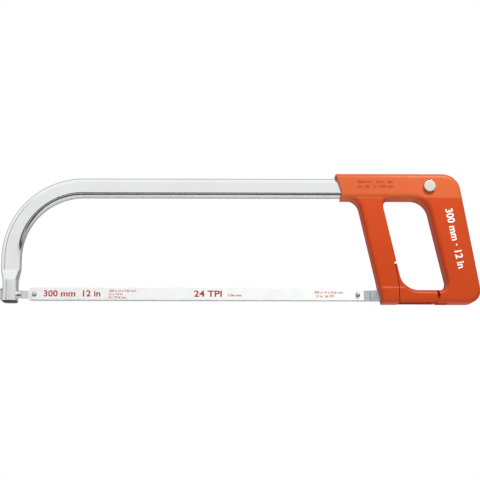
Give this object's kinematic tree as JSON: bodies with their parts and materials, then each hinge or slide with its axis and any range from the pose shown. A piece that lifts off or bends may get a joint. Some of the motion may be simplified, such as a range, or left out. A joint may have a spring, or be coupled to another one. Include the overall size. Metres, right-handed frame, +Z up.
{
  "type": "hacksaw",
  "caption": "Hacksaw with bent tube bow, cast D handle with over-centre tension lever, adjustable front blade holder and a straight removable blade.",
  "frame": {"origin": "middle of the bottom of the bounding box: under the saw's mid-plane, level with the flat bottom of the handle", "axes": "+X from the toe of the saw to the handle, +Z up from the blade to the bow, Y across the saw; the blade lies on the mid-plane Y = 0"},
  "size_m": [0.4458, 0.03, 0.1218],
  "materials": {
    "chrome_tube": "bright chrome plate",
    "black_plastic": "moulded, satin",
    "zinc_steel": "zinc plated",
    "peg_steel": "turned steel",
    "white_blade": "white enamel on spring steel",
    "orange_paint": "semi-gloss powder coat on die-cast aluminium",
    "drawbar_steel": "zinc plated flat bar",
    "spring_steel": "oiled spring steel",
    "polished_cap": "polished"
  },
  "bodies": {
    "frame": {"handle": "orange_paint", "bow_tube": "chrome_tube", "front_end_plug": "black_plastic", "drawbar_guide": "black_plastic", "pivot_washers": "zinc_steel", "button_spring": "spring_steel"},
    "lever": {"tension_lever": "orange_paint", "lever_pivot_pins": "peg_steel", "crank_pin": "peg_steel", "link_spacer": "zinc_steel"},
    "drawbar": {"drawbar": "drawbar_steel", "drawbar_pin": "peg_steel", "pin_clips": "spring_steel", "rear_blade_pin": "peg_steel"},
    "links": {"tension_links": "zinc_steel"},
    "blade": {"blade": "white_blade"},
    "front_holder": {"front_blade_holder": "zinc_steel", "front_blade_pin": "peg_steel"},
    "nut": {"front_adjusting_nut": "zinc_steel"},
    "button": {"button_cap": "polished_cap", "lock_plunger": "peg_steel", "plunger_retainer": "polished_cap"}
  },
  "joints": [
    {"name": "lever_open", "type": "hinge", "parent": "frame", "child": "lever", "pos_m": [0.17928, 0, 0.0073], "axis": [0, 1, 0], "range_deg": [0, 48]},
    {"name": "drawbar_slide", "type": "slide", "parent": "frame", "child": "drawbar", "axis": [-1, 0, 0], "range_m": [0, 0.0019]},
    {"name": "link_swing", "type": "hinge", "parent": "drawbar", "child": "links", "pos_m": [0.14228, 0, 0.0067], "axis": [0, 1, 0], "range_deg": [0, 7.7]},
    {"name": "blade_slack", "type": "slide", "parent": "frame", "child": "blade", "axis": [-1, 0, 0], "range_m": [0, 0.00095]},
    {"name": "nut_turn", "type": "hinge", "parent": "frame", "child": "nut", "pos_m": [-0.22072, 0, 0.0083], "axis": [-1, 0, 0], "range_deg": [0, 120]},
    {"name": "holder_slide", "type": "slide", "parent": "frame", "child": "front_holder", "axis": [1, 0, 0], "range_m": [0, 0.0003333]},
    {"name": "button_press", "type": "slide", "parent": "frame", "child": "button", "axis": [0, 1, 0], "range_m": [0, 0.0026], "stiffness_N_per_m": 600, "springref_m": -0.002, "deforming": ["button_spring"]}
  ],
  "couplings": [
    {"joint": "drawbar_slide", "follows": "lever_open", "m_per_rad": 0.00219},
    {"joint": "link_swing", "follows": "lever_open", "ratio": 0.16013},
    {"joint": "blade_slack", "follows": "lever_open", "m_per_rad": 0.001095},
    {"joint": "nut_turn", "follows": "holder_slide", "rad_per_m": 6283.2}
  ]
}
